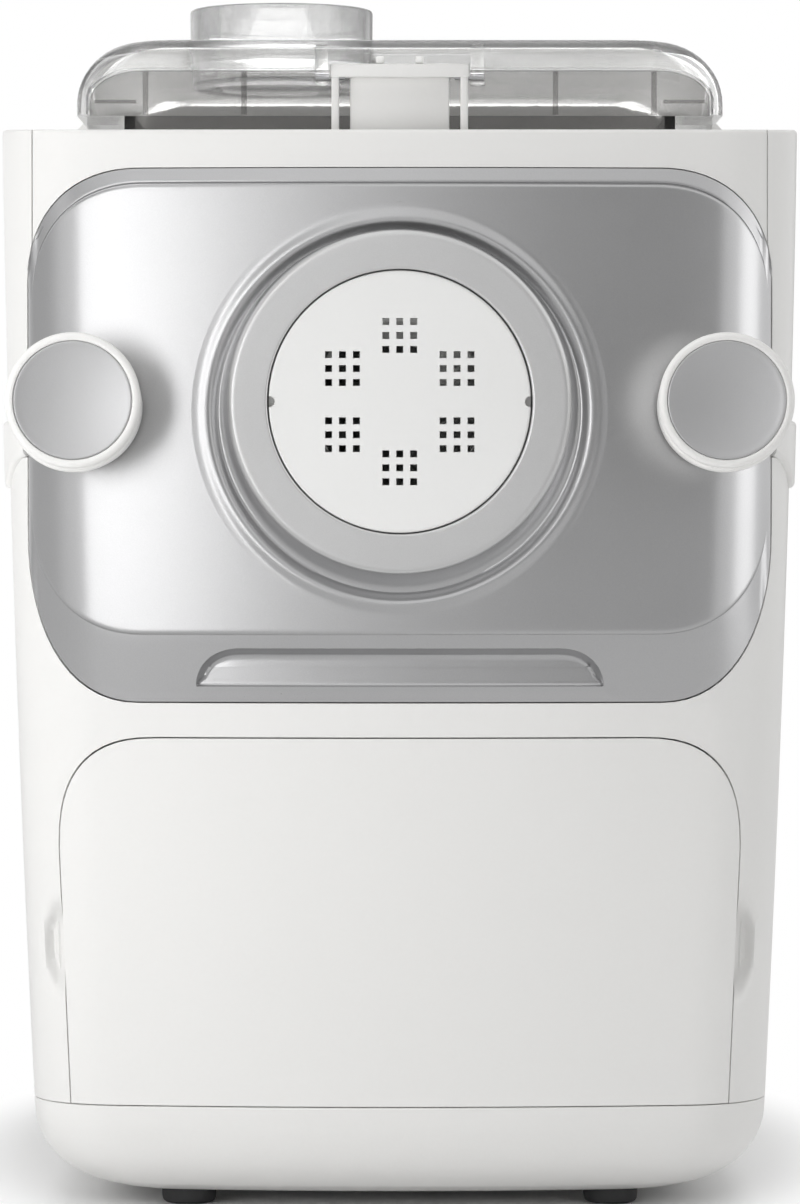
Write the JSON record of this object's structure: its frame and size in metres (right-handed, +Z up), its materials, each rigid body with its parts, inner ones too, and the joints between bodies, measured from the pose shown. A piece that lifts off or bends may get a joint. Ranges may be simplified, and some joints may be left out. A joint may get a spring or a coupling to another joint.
{
  "type": "electric pasta maker",
  "caption": "Electric pasta maker: clear lidded mixing chamber, pull-off silver front with locking knobs round a shaping disc, storage drawer, geared motor and control panel.",
  "frame": {"origin": "on the table under the middle of the whole object's outline, knob faces to back", "axes": "+Z up, front faces -Y, +X to the right seen from the front"},
  "size_m": [0.234, 0.396, 0.355],
  "materials": {
    "white_plastic": "satin moulded white",
    "silver_paint": "fine metallic silver paint",
    "clear_plastic": "clear moulded plastic, polished",
    "disc_plastic": "satin food-grade white",
    "rubber": "matt",
    "dark_gloss": "gloss black",
    "display_lens": "smoked window",
    "bare_steel": "turned",
    "gear_plastic": "natural gear plastic",
    "board": "green circuit board with black parts",
    "cast_metal": "cast and zinc plated",
    "dark_plastic": "black moulded",
    "light_plastic": "pale grey food-grade plastic",
    "seal_rubber": "grey silicone",
    "key_plastic": "light grey key caps"
  },
  "bodies": {
    "housing": {"base_shell": "white_plastic", "rubber_feet": "rubber", "side_housing": "white_plastic", "drawer_bay": "white_plastic", "chamber_well": "white_plastic", "front_bulkhead": "white_plastic", "control_housing": "white_plastic", "control_fascia": "dark_gloss", "display_lens": "display_lens", "control_board": "board", "power_board": "board", "motor_body": "cast_metal", "motor_mount": "cast_metal", "gearbox_case": "cast_metal", "gearbox_cover": "cast_metal", "bearings": "bare_steel", "power_inlet": "dark_plastic", "housing_screws": "bare_steel", "mixing_chamber": "clear_plastic", "chamber_bracket": "white_plastic", "shaft_seal": "seal_rubber", "extruder_tube": "light_plastic", "lid_hinge_pins": "bare_steel"},
    "drive": {"output_shaft": "bare_steel", "output_gear": "gear_plastic", "mixing_paddle": "light_plastic", "extrusion_screw": "light_plastic"},
    "layshaft_set": {"layshaft": "bare_steel", "layshaft_gears": "gear_plastic"},
    "motor_rotor": {"motor_shaft": "bare_steel", "motor_pinion": "bare_steel", "cooling_fan": "dark_plastic"},
    "panel": {"front_panel": "silver_paint", "top_trim": "white_plastic", "panel_carrier": "white_plastic", "nozzle_ring": "silver_paint", "left_latch_arm": "white_plastic", "right_latch_arm": "white_plastic"},
    "left_lock": {"left_knob": "white_plastic", "left_knob_cap": "silver_paint", "left_lock_shaft": "bare_steel"},
    "right_lock": {"right_knob": "white_plastic", "right_knob_cap": "silver_paint", "right_lock_shaft": "bare_steel"},
    "disc": {"shaping_disc": "disc_plastic"},
    "chamber_lid": {"lid": "clear_plastic"},
    "cup": {"water_cup": "clear_plastic"},
    "drawer": {"drawer_front": "white_plastic", "drawer_tray": "white_plastic", "disc_rack": "light_plastic", "spare_discs": "disc_plastic"},
    "power_key": {"power_button": "key_plastic"},
    "start_key": {"start_button": "key_plastic"},
    "menu_key": {"menu_button": "key_plastic"},
    "plus_key": {"plus_button": "key_plastic"},
    "minus_key": {"minus_button": "key_plastic"}
  },
  "joints": [
    {"name": "drive_spin", "type": "hinge", "parent": "housing", "child": "drive", "pos_m": [0, 0, 0.2355], "axis": [0, -1, 0], "continuous": true},
    {"name": "layshaft_spin", "type": "hinge", "parent": "housing", "child": "layshaft_set", "pos_m": [0, 0, 0.18], "axis": [0, -1, 0], "continuous": true},
    {"name": "motor_spin", "type": "hinge", "parent": "housing", "child": "motor_rotor", "pos_m": [0, 0, 0.12975], "axis": [0, -1, 0], "continuous": true},
    {"name": "panel_pull", "type": "slide", "parent": "housing", "child": "panel", "axis": [0, -1, 0], "range_m": [0, 0.06]},
    {"name": "left_knob_turn", "type": "hinge", "parent": "panel", "child": "left_lock", "pos_m": [-0.0922, -0.198, 0.2355], "axis": [0, -1, 0], "range_deg": [0, 90]},
    {"name": "right_knob_turn", "type": "hinge", "parent": "panel", "child": "right_lock", "pos_m": [0.0922, -0.198, 0.2355], "axis": [0, -1, 0], "range_deg": [-90, 0]},
    {"name": "disc_pull", "type": "slide", "parent": "housing", "child": "disc", "axis": [0, -1, 0], "range_m": [0, 0.03]},
    {"name": "lid_hinge", "type": "hinge", "parent": "housing", "child": "chamber_lid", "pos_m": [0, -0.1556, 0.33], "axis": [1, 0, 0], "range_deg": [0, 95]},
    {"name": "cup_lift", "type": "slide", "parent": "chamber_lid", "child": "cup", "axis": [0, 0, 1], "range_m": [0, 0.04]},
    {"name": "drawer_slide", "type": "slide", "parent": "housing", "child": "drawer", "axis": [0, -1, 0], "range_m": [0, 0.15]},
    {"name": "power_press", "type": "slide", "parent": "housing", "child": "power_key", "axis": [0, 0, -1], "range_m": [0, 0.0008], "stiffness_N_per_m": 500},
    {"name": "start_press", "type": "slide", "parent": "housing", "child": "start_key", "axis": [0, 0, -1], "range_m": [0, 0.0008], "stiffness_N_per_m": 500},
    {"name": "menu_press", "type": "slide", "parent": "housing", "child": "menu_key", "axis": [0, 0, -1], "range_m": [0, 0.0008], "stiffness_N_per_m": 500},
    {"name": "plus_press", "type": "slide", "parent": "housing", "child": "plus_key", "axis": [0, 0, -1], "range_m": [0, 0.0008], "stiffness_N_per_m": 500},
    {"name": "minus_press", "type": "slide", "parent": "housing", "child": "minus_key", "axis": [0, 0, -1], "range_m": [0, 0.0008], "stiffness_N_per_m": 500}
  ],
  "couplings": [
    {"joint": "layshaft_spin", "follows": "drive_spin", "ratio": -3.9333},
    {"joint": "motor_spin", "follows": "drive_spin", "ratio": 18.028},
    {"joint": "disc_pull", "follows": "panel_pull", "ratio": 0.5}
  ]
}
